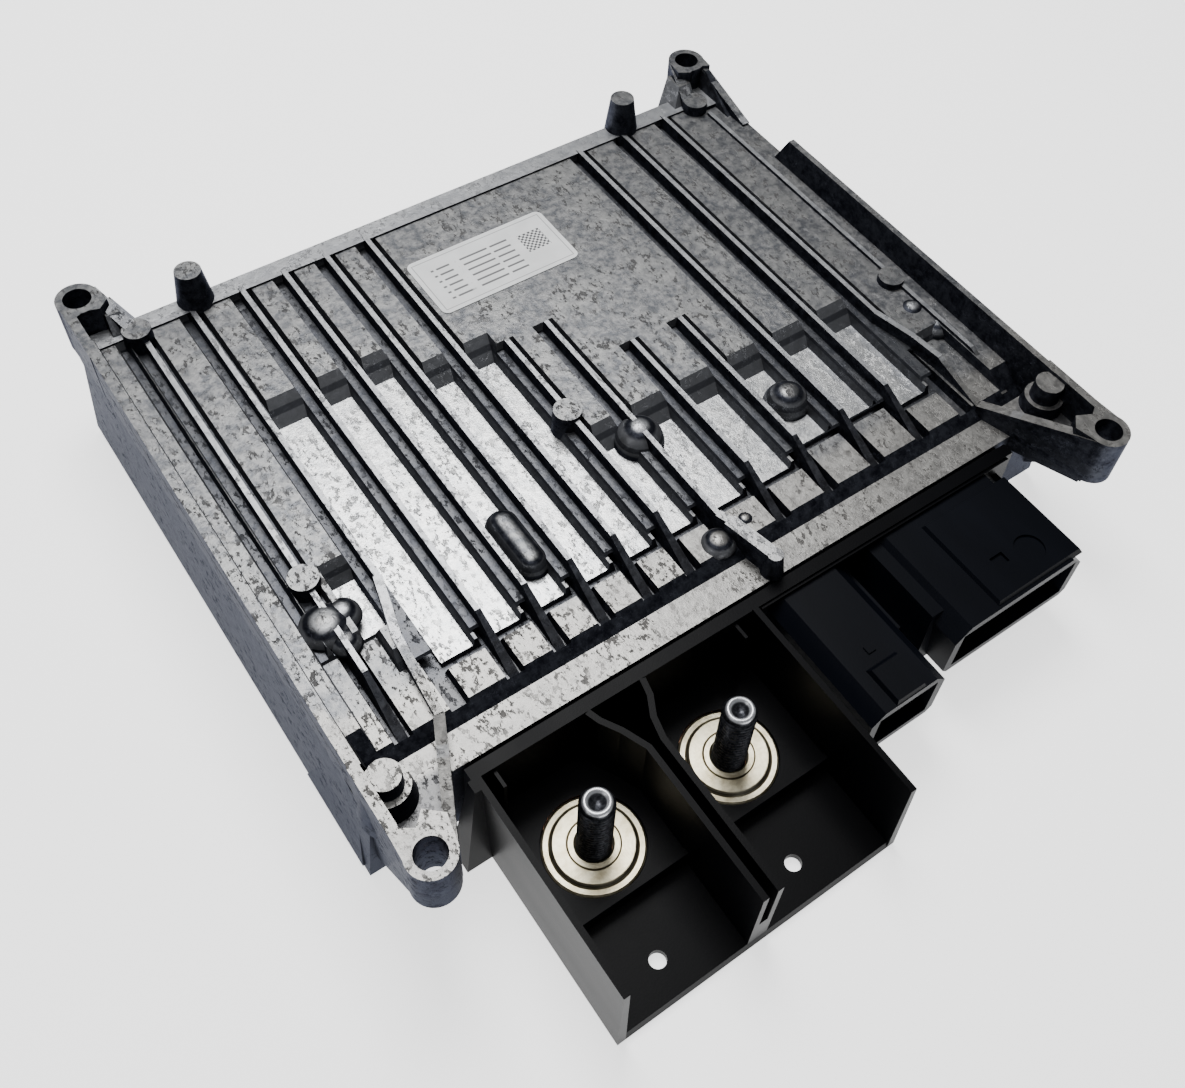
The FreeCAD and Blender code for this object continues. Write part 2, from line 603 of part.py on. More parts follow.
def power_transistors():
    """Eight flat power packages in a row under the cooling bar, each with three leads and a pad."""
    packages, pads = [], []
    for number in range(8):
        x = -56 + 16 * number
        case = taper(f"Case{number}", (BOARD_TOP, f"{BOARD_TOP} + 4.6"), (x - 5, x + 5, 20.5, 33.5),
                     (x - 4.6, x + 4.6, 20.9, 33.1))
        leads = [block(f"Lead{number}{lead}", (x - 3.6 + 2.6 * lead, x - 2.4 + 2.6 * lead), (17.4, 21),
                       (BOARD_TOP, f"{BOARD_TOP} + 1.2")) for lead in range(3)]
        packages.append(joined(f"Package{number}", [case] + leads))
        pads.append(block(f"ThermalPad{number}", (x - 5, x + 5), (21, 33),
                          (f"{BOARD_TOP} + 4.6", "cooling_bar_under")))
    group_of("Packages", "power_transistors", packages)
    group_of("ThermalPads", "thermal_pads", pads)


def inductors():
    """Three double-E cores, each with a winding round its middle leg."""
    cores, windings = [], []
    for number, x in enumerate((-52, -14, 24)):
        solid = block(f"CoreBlock{number}", (x - 15, x + 15), (-20, 4), (BOARD_TOP, f"{BOARD_TOP} + 14.6"))
        windows = [block(f"Window{number}{side}", (x + 8 * side - 4, x + 8 * side + 4), (-21, 5),
                         (f"{BOARD_TOP} + 3", f"{BOARD_TOP} + 11.6")) for side in (-1, 1)]
        cores.append(minus(f"Core{number}", solid, windows))
        ring = block(f"CoilBlock{number}", (x - 11.6, x + 11.6), (-27.4, 11.4),
                     (f"{BOARD_TOP} + 3", f"{BOARD_TOP} + 11.4"))
        hole = block(f"CoilHole{number}", (x - 4.3, x + 4.3), (-20.4, 4.4),
                     (f"{BOARD_TOP} + 2", f"{BOARD_TOP} + 12.6"))
        windings.append(minus(f"Coil{number}", ring, [hole]))
    group_of("Cores", "inductor_cores", cores)
    group_of("Windings", "inductor_windings", windings)


def filter_capacitors():
    cans = []
    for row in range(2):
        for number in range(4):
            name = f"Can{row}{number}"
            x, y = 50 + 10.5 * number, -34 + 13 * row
            base = block(name + "Base", (x - 4.6, x + 4.6), (y - 4.6, y + 4.6),
                         (BOARD_TOP, f"{BOARD_TOP} + 1.2"))
            can = post(name, x, y, (f"{BOARD_TOP} + 1", f"{BOARD_TOP} + 13"), 4.4)
            cans.append(joined(name + "Whole", [base, can]))
    group_of("Cans", "filter_capacitors", cans)


def control_chip():
    case = taper("ChipCase", (BOARD_TOP, f"{BOARD_TOP} + 1.6"),
                 (62, 76, 40, 54), (62.3, 75.7, 40.3, 53.7))
    legs = []
    thin = (BOARD_TOP, f"{BOARD_TOP} + 0.4")
    for number in range(10):
        x = 63 + 1.25 * number
        legs.append(block(f"ChipLegFront{number}", (x, x + 0.5), (38.6, 40.4), thin))
        legs.append(block(f"ChipLegBack{number}", (x, x + 0.5), (53.6, 55.4), thin))
    hand_in(joined("Chip", [case] + legs), "control_chip")


def current_shunt():
    """A bent resistor strip: two feet on the board and a raised bridge between them."""
    wide = (40, 50)
    foot = (BOARD_TOP, f"{BOARD_TOP} + 1.6")
    riser = (BOARD_TOP, f"{BOARD_TOP} + 4.2")
    strips = [block("ShuntFootLeft", (-66, -60), wide, foot),
              block("ShuntFootRight", (-44, -38), wide, foot),
              block("ShuntRiserLeft", (-61.6, -60), wide, riser),
              block("ShuntRiserRight", (-44, -42.4), wide, riser),
              block("ShuntBridge", (-61.6, -42.4), wide, (f"{BOARD_TOP} + 2.6", f"{BOARD_TOP} + 4.2"))]
    hand_in(joined("Shunt", strips), "current_shunt")


# ---------------------------------------------------------------- stud terminals


def terminal(name, x, node_stud, node_bar):
    """A threaded stud with a square base under a bent copper bar that runs in to the board."""
    neck = "stud_r - 0.3"
    profile = [(0, 1.6), (neck, 1.6), (neck, "washer_top + 0.2"), ("stud_r", "washer_top + 0.2"),
               ("stud_r", "stud_tip - 0.9"), ("stud_r - 0.7", "stud_tip"),
               (2.3, "stud_tip"), (1.2, "stud_tip - 1.6"), (0, "stud_tip - 1.6")]
    rod = turned(name + "Rod", profile, x, "stud_y")
    base = block(name + "Base", (f"{x} - 6", f"{x} + 6"), ("stud_y - 6", "stud_y + 6"), (1.2, "bar_under"))
    hand_in(joined(name + "Stud", [rod, base]), node_stud)
    owner = body(name + "Bar")
    side = sketch(owner, "YZ_Plane")
    top = "bar_under + bar_thick"
    outline(side, [("stud_y - 8.4", "bar_under"), (-59.6, "bar_under"), (-59.6, BOARD_TOP), (-50, BOARD_TOP),
                   (-50, f"{BOARD_TOP} + bar_thick"), (-61.2, f"{BOARD_TOP} + bar_thick"), (-61.2, top),
                   ("stud_y - 8.4", top)])
    pad(owner, side, "2 * bar_half", both_ways=True)
    place(owner, x, 0, 0)
    bore = post(name + "BarHole", x, "stud_y", (0, 9), "stud_r + 0.05")
    hand_in(minus(name + "Busbar", owner, [bore]), node_bar)


def contact_washers():
    """Turned contact washers with a raised inner ring and a stepped outer flange."""
    made = []
    low = "bar_under + bar_thick"
    for name, x in (("LeftWasher", "stud_left"), ("RightWasher", "stud_right")):
        profile = [("stud_r + 0.1", low), ("washer_r", low), ("washer_r", f"{low} + 0.9"),
                   ("washer_r - 0.5", f"{low} + 1.3"), ("washer_r - 1.6", f"{low} + 1.3"),
                   ("washer_r - 2.2", "washer_top - 0.3"), ("washer_r - 2.6", "washer_top"),
                   ("stud_r + 2.2", "washer_top"), ("stud_r + 2.0", "washer_top - 0.35"),
                   ("stud_r + 1.8", "washer_top"), ("stud_r + 0.6", "washer_top"),
                   ("stud_r + 0.1", "washer_top - 0.5")]
        made.append(turned(name, profile, x, "stud_y"))
    group_of("Washers", "contact_washers", made)


# ---------------------------------------------------------------- header, bays and connectors


def bar_slots(name, y):
    """Slots that the copper bars pass through."""
    return [block(f"{name}{side}Slot", (f"{x} - bar_half - 0.1", f"{x} + bar_half + 0.1"), y,
                  ("bar_under", "bar_under + bar_thick"))
            for side, x in (("Left", "stud_left"), ("Right", "stud_right"))]


def plug_doors(name, y, margin):
    """Windows that the contacts of both connectors pass through."""
    high = (11.5, 22.5)
    return [block(name + "SignalDoor", (f"signal_left + {margin}", f"signal_right - {margin}"), y, high),
            block(name + "PowerDoor", (f"power_left + {margin} + 2", f"power_right - {margin} - 2"), y, high)]


def connector_header():
    """The black strip across the front wall that carries the bays and the connectors."""
    strip = taper("Strip", (0.6, "header_top"),
                  ("header_left - 1", "header_right + 1", "header_front", "header_back"),
                  ("header_left", "header_right", "header_front", "header_back"))
    lip = block("StripLip", ("bay_right + 1.2", "header_right - 2"),
                ("header_front - 0.7", "header_front + 1"), ("header_top - 1.4", "header_top - 0.6"))
    cut = minus("HeaderCut", joined("HeaderBlank", [strip, lip]),
                bar_slots("Header", (-75, -66)) + plug_doors("Header", (-75, -66), 3.5))
    hand_in(cut, "connector_header")


def header_seal():
    ring = block("GasketPlate", ("header_left + 1.5", "header_right - 1.5"),
                 ("header_back", "front_y"), (3.1, 26))
    window = bar_slots("Gasket", (-75, -66)) + plug_doors("Gasket", (-75, -66), 3)
    hand_in(minus("Gasket", ring, window), "header_seal")


def terminal_shroud():
    """Two open bays around the studs: a stepped floor, side walls and curved inner walls."""
    full = (0, "bay_top")
    floor = taper("BayFloor", (0, "bay_floor"),
                  ("bay_left - 0.4", "bay_right + 0.4", "bay_front", "header_front"),
                  ("bay_left", "bay_right", "bay_front + 0.6", "header_front"))
    seat = block("BaySeat", ("bay_left", "bay_right"), ("seat_front", "header_front"), (0, "seat_top"))
    left = taper("BayWallLeft", full,
                 ("bay_left - 0.6", "bay_left + bay_wall", "bay_front", "header_front"),
                 ("bay_left", "bay_left + bay_wall", "bay_front + 1", "header_front"))
    right = taper("BayWallRight", full,
                  ("bay_right - bay_wall", "bay_right + 0.6", "bay_front", "header_front"),
                  ("bay_right - bay_wall", "bay_right", "bay_front + 1", "header_front"))
    walls = [left, right]
    level = (0.0, worth("bay_top") - 0.4)
    front, mid = worth("bay_front") + 0.6, worth("header_front") - 0.25
    left_path = [(-43.2, front), (-43.2, -86.8), (-45.7, -80.5), (-48.4, -75.8), (-49.4, mid)]
    right_path = [(-39.4, front), (-39.4, -86.8), (-38.2, -81.5), (-35.7, -76.8), (-34.8, mid)]
    for name, path in (("InnerLeft", left_path), ("InnerRight", right_path)):
        for number, (start, end) in enumerate(zip(path, path[1:])):
            walls.append(web(f"{name}{number}", start, end, 1.5, level, level))
        for number, (x, y) in enumerate(path[1:4]):
            walls.append(post(f"{name}Turn{number}", x, y, (0, level[1]), 0.75))
    walls.append(block("InnerBridge", (-43.2, -39.4), (front, -86.8), (0, 12)))
    corner = taper("BayCorner", full, (-84.6, "bay_left", -79, "header_front"),
                   (-79.2, "bay_left", -75.4, "header_front"))
    rib_high = ("seat_top - 1", "bay_top - 2")
    ribs = [block("BayRibLeft", (-73.2, -72.4), (-76.8, "header_front"), rib_high),
            block("BayRibRight", (-8.8, -8.0), (-76.8, "header_front"), rib_high),
            block("BayLip", ("bay_left", "bay_right"), ("seat_front", "seat_front + 1.4"),
                  (0, "seat_top + 0.7"))]
    cuts = bar_slots("Shroud", (-101, -70))
    for name, x in (("Left", "stud_left"), ("Right", "stud_right")):
        cuts.append(post(f"Shroud{name}Seat", x, "stud_y", ("bar_under + bar_thick", 9),
                         "washer_r + 0.25"))
        cuts.append(block(f"Shroud{name}Base", (f"{x} - 6", f"{x} + 6"), ("stud_y - 6", "stud_y + 6"),
                          (1.2, "bar_under")))
    cuts.append(post("DrainLeft", -61.7, -118.4, (-1, 5), 2.0))
    cuts.append(post("DrainRight", -24.3, -118.4, (-1, 5), 2.0))
    whole = joined("ShroudBlank", [floor, seat, corner] + walls + ribs)
    hand_in(minus("Shroud", whole, cuts), "terminal_shroud")


def plug_shell(name, x, front, top_chamfer):
    """A connector shroud: a hollow rounded box that opens towards the front."""
    owner = body(name)
    face = sketch(owner, "XZ_Plane", f"-({front})")
    low, high = "plug_low", "plug_high"
    left, right = x
    outline(face, [(f"{left} + 1.6", low), (f"{right} - 1.6", low), (right, f"{low} + 1.6"),
                   (right, f"{high} - {top_chamfer}"), (f"{right} - {top_chamfer}", high),
                   (f"{left} + {top_chamfer}", high), (left, f"{high} - {top_chamfer}"),
                   (left, f"{low} + 1.6")])
    item = pad(owner, face, f"header_front - ({front})")
    item.Reversed = True
    doc.recompute()
    mouth = sketch(owner, "XZ_Plane", f"-({front})")
    rectangle(mouth, (f"{left} + plug_wall + 0.6", f"{right} - plug_wall - 0.6"),
              ("plug_low + plug_wall + 0.4", "plug_high - plug_wall - 0.6"))
    pocket(owner, mouth, f"header_front - ({front}) - 3")
    return owner


def signal_connector():
    """The narrow connector: twelve square pins, a latch ramp on top and two ribs beside it."""
    shell = plug_shell("SignalShell", ("signal_left", "signal_right"), "signal_front", 3.4)
    long = (-92, "header_front")
    ribs = [block("SignalRibInner", ("signal_right - 0.4", "signal_right + 0.9"), long, (10, 21)),
            block("SignalRibOuter", ("signal_right + 1.3", "signal_right + 2.6"), long, (10, 19.5)),
            block("SignalSide", ("signal_right - 0.5", "signal_right + 4.2"), (-103, "header_front"),
                  (10, 11.4))]
    latch = taper("SignalLatch", ("plug_high - 0.4", "plug_high + 1.2"),
                  (8.6, 18.0, -109, -98), (9.4, 17.2, -108.4, -99.4))
    mark = block("SignalMark", (12.2, 14.4), (-95.5, -93.5), ("plug_high - 0.2", "plug_high + 0.4"))
    solid = joined("SignalSolid", [shell, latch, mark] + ribs)
    pins, holes = [], []
    for number in range(12):
        x, z = 6.8 + 2.6 * (number % 6), 14.4 + 5.2 * (number // 6)
        spans = ((x - 0.32, x + 0.32), (-104, -66), (z - 0.32, z + 0.32))
        pins.append(block(f"Pin{number}", *spans))
        holes.append(block(f"PinHole{number}", *spans))
    hand_in(minus("SignalConnector", solid, holes), "signal_connector_shell")
    group_of("Pins", "signal_pins", pins)


def power_connector():
    """The wide connector: two flat blades, a raised top plate and a ramp towards the header."""
    shell = plug_shell("PowerShell", ("power_left", "power_right"), "power_front", 4.2)
    plate = taper("PowerPlate", ("plug_high - 0.4", "plug_high + 1.0"),
                  (46.4, 75.2, "power_front + 0.6", -76), (47.2, 74.4, "power_front + 1.4", -76.6))
    side = taper("PowerSide", ("plug_low + 1", "plug_high - 1.4"), (29.0, 36, -98, "header_front"),
                 (32.2, 36, -96, "header_front"))
    flank = block("PowerFlank", ("power_right - 1", "power_right + 2.6"), (-80, "header_front"), (10, 21))
    solid = joined("PowerSolid", [shell, plate, side, flank])
    cuts = [post("PowerCircle", 64.0, -95.6, ("plug_high + 0.4", "plug_high + 2"), 4.0),
            block("PowerNotch", (53.4, 57.4), (-95.4, -92.4), ("plug_high + 0.2", "plug_high + 2"))]
    blades, slots = [], []
    for number in range(2):
        x = 46.4 + 16 * number
        spans = ((x - 3.4, x + 3.4), (-100, -64), (16.2, 17.4))
        blades.append(block(f"Blade{number}", *spans))
        slots.append(block(f"BladeSlot{number}", *spans))
    hand_in(minus("PowerConnector", solid, cuts + slots), "power_connector_shell")
    group_of("Blades", "power_blades", blades)


def header_screws():
    """Small pan-head screws that hold the header to the front wall."""
    made = []
    for number, x in enumerate((1.6, 28.3, 79.0)):
        head = doc.addObject("Part::Cone", f"HeaderHead{number}")
        bind(head, Radius1=1.8, Radius2=2.3, Height=1.6)
        head.Placement = Placement(Vector(x, -74.0, 5.0), Rotation(Vector(1, 0, 0), -90))
        made.append(head)
    group_of("HeaderScrews", "header_screws", made)


def data_label():
    owner = body("Label")
    plan = sketch(owner, "XY_Plane", "plateau_top")
    rectangle(plan, ("label_x - label_long / 2", "label_x + label_long / 2"),
              ("label_y - label_wide / 2", "label_y + label_wide / 2"))
    pad(owner, plan, "label_thick")
    round_off(owner, 2, upright)
    hand_in(owner, "data_label")


cast_housing()
bottom_cover()
cover_screws()
cover_seal()
vent_plug()
circuit_board()
board_screws()
power_transistors()
inductors()
filter_capacitors()
control_chip()
current_shunt()
terminal("Positive", "stud_left", "positive_stud", "positive_busbar")
terminal("Ground", "stud_right", "ground_stud", "ground_busbar")
contact_washers()
connector_header()
header_seal()
terminal_shroud()
signal_connector()
power_connector()
header_screws()
data_label()
doc.recompute()

for item in doc.Objects:
    if "Invalid" in item.State or "Error" in item.State:
        raise RuntimeError(f"{item.Name} failed: {item.State}")
for item in subparts:
    if item.Shape.isNull() or not item.Shape.isValid():
        raise RuntimeError(f"{item.Label} has no valid shape")

os.makedirs("parts", exist_ok=True)
for item in subparts:
    item.Shape.exportStep(f"parts/{item.Label}.step")
    box = item.Shape.BoundBox
    print(f"{item.Label}: {len(item.Shape.Solids)} solids, {item.Shape.Volume:.0f} mm3, "
          f"z {box.ZMin:.2f} to {box.ZMax:.2f}")
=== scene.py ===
# A finned voltage converter for a battery system, finished as a lesson in cells.
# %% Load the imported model
import math

import bmesh
import bpy
from mathutils import Euler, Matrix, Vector


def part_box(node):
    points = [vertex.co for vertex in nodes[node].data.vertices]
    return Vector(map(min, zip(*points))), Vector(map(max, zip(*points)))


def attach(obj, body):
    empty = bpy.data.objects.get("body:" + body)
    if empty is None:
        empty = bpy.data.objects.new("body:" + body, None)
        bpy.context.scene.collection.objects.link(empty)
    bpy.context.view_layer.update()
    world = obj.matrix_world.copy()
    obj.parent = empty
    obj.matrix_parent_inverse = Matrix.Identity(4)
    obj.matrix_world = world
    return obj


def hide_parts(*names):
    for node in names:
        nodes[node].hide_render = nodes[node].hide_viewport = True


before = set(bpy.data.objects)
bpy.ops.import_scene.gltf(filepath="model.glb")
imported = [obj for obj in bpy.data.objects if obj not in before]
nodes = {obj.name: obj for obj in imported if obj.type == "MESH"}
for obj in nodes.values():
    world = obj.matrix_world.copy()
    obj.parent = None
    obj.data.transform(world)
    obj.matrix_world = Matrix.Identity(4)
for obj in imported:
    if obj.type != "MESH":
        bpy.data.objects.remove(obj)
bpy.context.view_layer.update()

MM = 0.001

# %% [markdown]
# ## The camera comes first
# The converter is seen from above its front left corner, so that the fins, the open bays and
# the plugs all show. A camera could be aimed with a track-to constraint, but its roll would
# then be fixed at level. Three plain angles keep the small roll of a hand-held view.

# %% Camera
CAMERA_PLACE = Vector((-129.3, -177.0, 284.1)) * MM
CAMERA_TILT = Euler([math.radians(turn) for turn in (36.62, -3.40, -35.63)], "XYZ")

lens = bpy.data.cameras.new("view_lens")
lens.lens = 40.04
lens.sensor_width = 36.0
lens.shift_x = -0.0390
lens.shift_y = -0.0436
lens.clip_start = 0.01
camera = bpy.data.objects.new("view_camera", lens)
camera.location = CAMERA_PLACE
camera.rotation_euler = CAMERA_TILT
bpy.context.scene.collection.objects.link(camera)
bpy.context.scene.camera = camera
print("camera", [round(v, 3) for v in camera.location])

# %% [markdown]
# ## Writing shaders as sums
# A finish is a chain of small nodes. They can be wired by hand, one link at a time, but the
# maths in them then hides in the wiring. A wrapper round a socket that knows + - * / lets a
# mask be written as a formula, and one method makes every other node.

# %% A socket that can be added up
class Wire:
    """One output of a node, which turns arithmetic into Math nodes."""

    def __init__(self, finish, socket):
        self.finish = finish
        self.socket = socket

    def maths(self, operation, first, second):
        return self.finish.node("ShaderNodeMath", {"operation": operation}, first, second)

    def __add__(self, other):
        return self.maths("ADD", self, other)

    def __radd__(self, other):
        return self.maths("ADD", other, self)

    def __sub__(self, other):
        return self.maths("SUBTRACT", self, other)

    def __rsub__(self, other):
        return self.maths("SUBTRACT", other, self)

    def __mul__(self, other):
        return self.maths("MULTIPLY", self, other)

    def __rmul__(self, other):
        return self.maths("MULTIPLY", other, self)

    def __truediv__(self, other):
        return self.maths("DIVIDE", self, other)

    def __pow__(self, other):
        return self.maths("POWER", self, other)


# %% A finish: one material and the methods that fill it
class Finish:
    """A material under construction."""

    def __init__(self, name):
        self.material = bpy.data.materials.new(name)
        self.material.use_nodes = True
        self.tree = self.material.node_tree
        self.shader = next(n for n in self.tree.nodes if n.type == "BSDF_PRINCIPLED")

    def feed(self, socket, value):
        if isinstance(value, Wire):
            self.tree.links.new(value.socket, socket)
        else:
            socket.default_value = value

    def node(self, kind, settings, *inputs, output=0, **named):
        """Any node: its settings first, then the values or wires of its sockets."""
        made = self.tree.nodes.new(kind)
        for name, value in settings.items():
            setattr(made, name, value)
        for number, value in enumerate(inputs):
            self.feed(made.inputs[number], value)
        for name, value in named.items():
            self.feed(made.inputs[name.replace("_", " ")], value)
        return Wire(self, made.outputs[output])

    def place(self):
        """Where a point lies on the object, in metres."""
        return self.node("ShaderNodeTexCoord", {}, output="Object")

    def along(self, letter, source=None):
        return self.node("ShaderNodeSeparateXYZ", {}, source or self.place(), output=letter)

    def facing(self, letter="Z"):
        """How much the surface faces along one axis, from -1 to 1."""
        return self.along(letter, self.node("ShaderNodeNewGeometry", {}, output="Normal"))

    def noise(self, size_mm, detail=3.0, roughness=0.55, stretch=(1, 1, 1)):
        """Cloudy noise whose features are about this many millimetres across."""
        spread = self.node("ShaderNodeMapping", {}, self.place(), Scale=Vector(stretch))
        return self.node("ShaderNodeTexNoise", {}, Vector=spread, Scale=1000 / size_mm,
                         Detail=detail, Roughness=roughness)

    def between(self, value, low, high):
        """0 below low, 1 above high, smooth in between."""
        return self.node("ShaderNodeMapRange", {"interpolation_type": "SMOOTHSTEP"}, value, low, high)

    def band(self, value, low, high, soft):
        """1 between low and high, 0 outside."""
        return self.between(value, low - soft, low) * (1 - self.between(value, high, high + soft))

    def blend(self, amount, first, second):
        """Mix two colours."""
        made = self.tree.nodes.new("ShaderNodeMix")
        made.data_type = "RGBA"
        self.feed(made.inputs["Factor"], amount)
        for name, value in (("A", first), ("B", second)):
            socket = next(s for s in made.inputs if s.name == name and s.type == "RGBA")
            self.feed(socket, value if isinstance(value, Wire) else (*value, 1))
        return Wire(self, next(s for s in made.outputs if s.type == "RGBA"))

    def relief(self, height, depth_mm, strength=1.0):
        """Bump from a height from 0 to 1, this deep."""
        bump = self.node("ShaderNodeBump", {}, Strength=strength, Distance=depth_mm * MM, Height=height)
        self.set("Normal", bump)

    def set(self, name, value):
        self.feed(self.shader.inputs[name], value)

    def cover(self, *names):
        """Put the finish on CAD nodes or on pieces."""
        for name in names:
            piece = nodes.get(name) or bpy.data.objects[name]
            piece.data.materials.clear()
            piece.data.materials.append(self.material)
        print(self.material.name, "on", ", ".join(names))


# %% [markdown]
# ## Cast edges
# Nothing that comes out of a mould has a knife edge. The rounding could be modelled in CAD,
# but hundreds of crossing fins would make that solid fragile. A bevel modifier rounds only
# the sharp edges, leaves the flat faces where they are, and keeps the outside size.

# %% Round the sharp edges
def soften(name, width_mm, segments=2, angle=32):
    piece = nodes[name]
    bevel = piece.modifiers.new("cast_edges", "BEVEL")
    bevel.width = width_mm * MM
    bevel.segments = segments
    bevel.limit_method = "ANGLE"
    bevel.angle_limit = math.radians(angle)
    bevel.use_clamp_overlap = True
    bevel.harden_normals = True


for name in ("terminal_shroud", "signal_connector_shell", "power_connector_shell", "connector_header"):
    soften(name, 0.35)
soften("cast_housing", 0.5, 3)
for name in ("bottom_cover", "circuit_board", "data_label", "vent_plug"):
    soften(name, 0.12)
for name in ("inductor_cores", "inductor_windings", "power_transistors", "filter_capacitors",
             "positive_busbar", "ground_busbar", "current_shunt", "control_chip", "contact_washers",
             "power_blades", "signal_pins", "header_screws", "cover_screws", "board_screws"):
    soften(name, 0.15, angle=40)
print("softened edges")

# %% [markdown]
# ## The cast aluminium
# Die-cast metal is not one grey. Faces that lie flat were blasted and show dark specks. Pocket
# floors are smoother and painted pale as a painted highlight, the front is painted paler as
# painted light, and fin tops and rounded shoulders get painted highlights. The drafted flanks,
# the valleys and the ear recesses are painted dark as painted shade. One material can tell them
# apart by height and by how far a face looks up.

# %% Cast aluminium
# Bands of height over the rest face, in mm, and places along Y, in mm, that the metal is told by.
POCKET_FLOOR = (28.1, 29.0)
# VALLEY_FLOOR, EAR_RECESS and UNDER_PADS bound where painted shade darkens the metal.
VALLEY_FLOOR = (30.8, 31.7)
EAR_RECESS = (29.6, 33.0)
FIN_TOP = (34.45, 35.2)
UNDER_PADS = (27.6, 27.95)
PADS_END = -48.0
EARS_END = -68.0


def cast_aluminium():
    f = Finish("cast_aluminium")
    up = f.facing()
    height = f.along("Z") / MM
    depth = f.along("Y") / MM
    flat = f.between(up, 0.88, 0.97)
    behind_pads = f.between(depth, PADS_END, PADS_END + 1.5)
    pocket = f.band(height, *POCKET_FLOOR, 0.25) * flat * behind_pads
    # The ear recesses, the valley floors and all below the pads are masked for painted shade.
    recess_shade = f.band(height, *EAR_RECESS, 0.3) * (1 - f.between(depth, EARS_END, EARS_END + 2.0))
    # front: the pads and rim in front are painted paler, which is painted light, with a brownish mottle.
    front = 1 - f.between(depth, PADS_END - 2.0, PADS_END + 2.0)
    valley_shade = f.band(height, *VALLEY_FLOOR, 0.3) * behind_pads + (1 - f.between(height, *UNDER_PADS))
    # ridge: fin tops are painted paler, a painted highlight along the top edges with some edge wear.
    ridge = f.band(height, *FIN_TOP, 0.2) * flat
    clouds = f.noise(11.0, 4.0, 0.6)
    mottle = f.noise(2.4, 5.0, 0.7)
    grain = f.noise(0.5, 3.0, 0.7)
    flecks = f.between(f.noise(1.5, 6.0, 0.75, (1, 0.6, 1)), 0.535, 0.60)
    specks = flecks * (0.25 + 0.75 * f.between(clouds, 0.42, 0.56))
    top = f.blend(f.between(mottle, 0.35, 0.66), (0.11, 0.115, 0.125), (0.25, 0.25, 0.25))
    top = f.blend(f.between(clouds, 0.42, 0.66) * 0.5, top, (0.33, 0.33, 0.32))
    top = f.blend(front * 0.45, top, f.blend(mottle, (0.22, 0.205, 0.18), (0.56, 0.545, 0.51)))
    top = f.blend(specks * 0.62, top, (0.040, 0.036, 0.036))
    top = f.blend(ridge * 0.5, top, (0.50, 0.51, 0.53))
    # Pocket floors are painted much paler than the tops, a painted highlight, and are also smoother.
    bright = f.blend(f.between(mottle, 0.3, 0.75), (0.42, 0.43, 0.44), (0.70, 0.70, 0.69))
    top = f.blend(pocket, top, bright)
    # Faces that do not look up are painted dark: painted shade on the flanks.
    flank_shade = f.blend(f.between(mottle, 0.3, 0.7), (0.012, 0.013, 0.019), (0.052, 0.056, 0.070))
    # Faces tilted halfway up are painted pale: a painted highlight on the rounded shoulders.
    shoulder_highlight = f.band(up, 0.30, 0.70, 0.12)
    sides = f.blend(shoulder_highlight * 0.30, flank_shade, (0.60, 0.61, 0.63))
    whole = f.blend(flat, sides, top)
    # Painted shade: the valleys and ear recesses are blended toward a dark blue-grey.
    shade = valley_shade * 0.75 + recess_shade * 0.6
    f.set("Base Color", f.blend(shade, whole, (0.045, 0.048, 0.058)))
    f.set("Metallic", 0.80 + 0.12 * flat)
    f.set("Specular IOR Level", 0.3)
    f.set("Specular Tint", (0.35, 0.36, 0.40, 1))
    f.set("Roughness", 0.40 + 0.20 * (mottle - 0.5) - 0.08 * pocket + 0.28 * specks)
    f.relief(mottle * 0.6 + grain * 0.25 + clouds * 0.8 - specks * 0.35, 0.16, 0.9)
    f.cover("cast_housing")


cast_aluminium()

# %% [markdown]
# ## Black moulded plastic
# The header, bays and plug shells are one glass-filled nylon: nearly black with a cold sheen,
# a fine etched grain, and slightly paler streaks. Grain could be an image, but noise at
# two sizes does the same with nothing to unwrap.

# %% Black plastic
def black_plastic(name, colour, rough, targets):
    f = Finish(name)
    etch = f.noise(0.35, 3.0, 0.6)
    flow = f.noise(14.0, 3.0, 0.5, (1, 0.25, 1))
    dust = f.between(f.noise(0.9, 4.0, 0.8), 0.66, 0.76)
    worn = f.blend(f.between(flow, 0.4, 0.75) * 0.5, colour, tuple(2.0 * c for c in colour))
    f.set("Base Color", f.blend(dust * 0.15, worn, (0.012, 0.014, 0.021)))
    f.set("Roughness", rough + 0.14 * (flow - 0.5) + 0.12 * dust)
    f.set("Specular IOR Level", 0.08)
    f.relief(etch, 0.03, 0.6)
    f.cover(*targets)


black_plastic("bay_nylon", (0.0006, 0.0007, 0.0013), 0.40, ["terminal_shroud", "connector_header"])
black_plastic("plug_nylon", (0.0018, 0.0024, 0.0044), 0.42,
              ["signal_connector_shell", "power_connector_shell"])

# %% [markdown]
# ## Rubber, epoxy and silicone
# Seals, chip packages and thermal pads are all dull, but not alike: rubber is blotchy where it
# has been squeezed, epoxy has a fine even grain, and a filled silicone pad looks chalky.

# %% Dull fillers and seals
def dull(name, dark, light, rough, size_mm, depth_mm, targets):
    f = Finish(name)
    patch = f.noise(size_mm, 4.0, 0.65)
    fine = f.noise(size_mm / 6, 2.0, 0.6)
    f.set("Base Color", f.blend(f.between(patch, 0.3, 0.7), dark, light))
    f.set("Roughness", rough + 0.15 * (patch - 0.5))
    f.relief(patch * 0.5 + fine * 0.5, depth_mm, 0.8)
    f.cover(*targets)


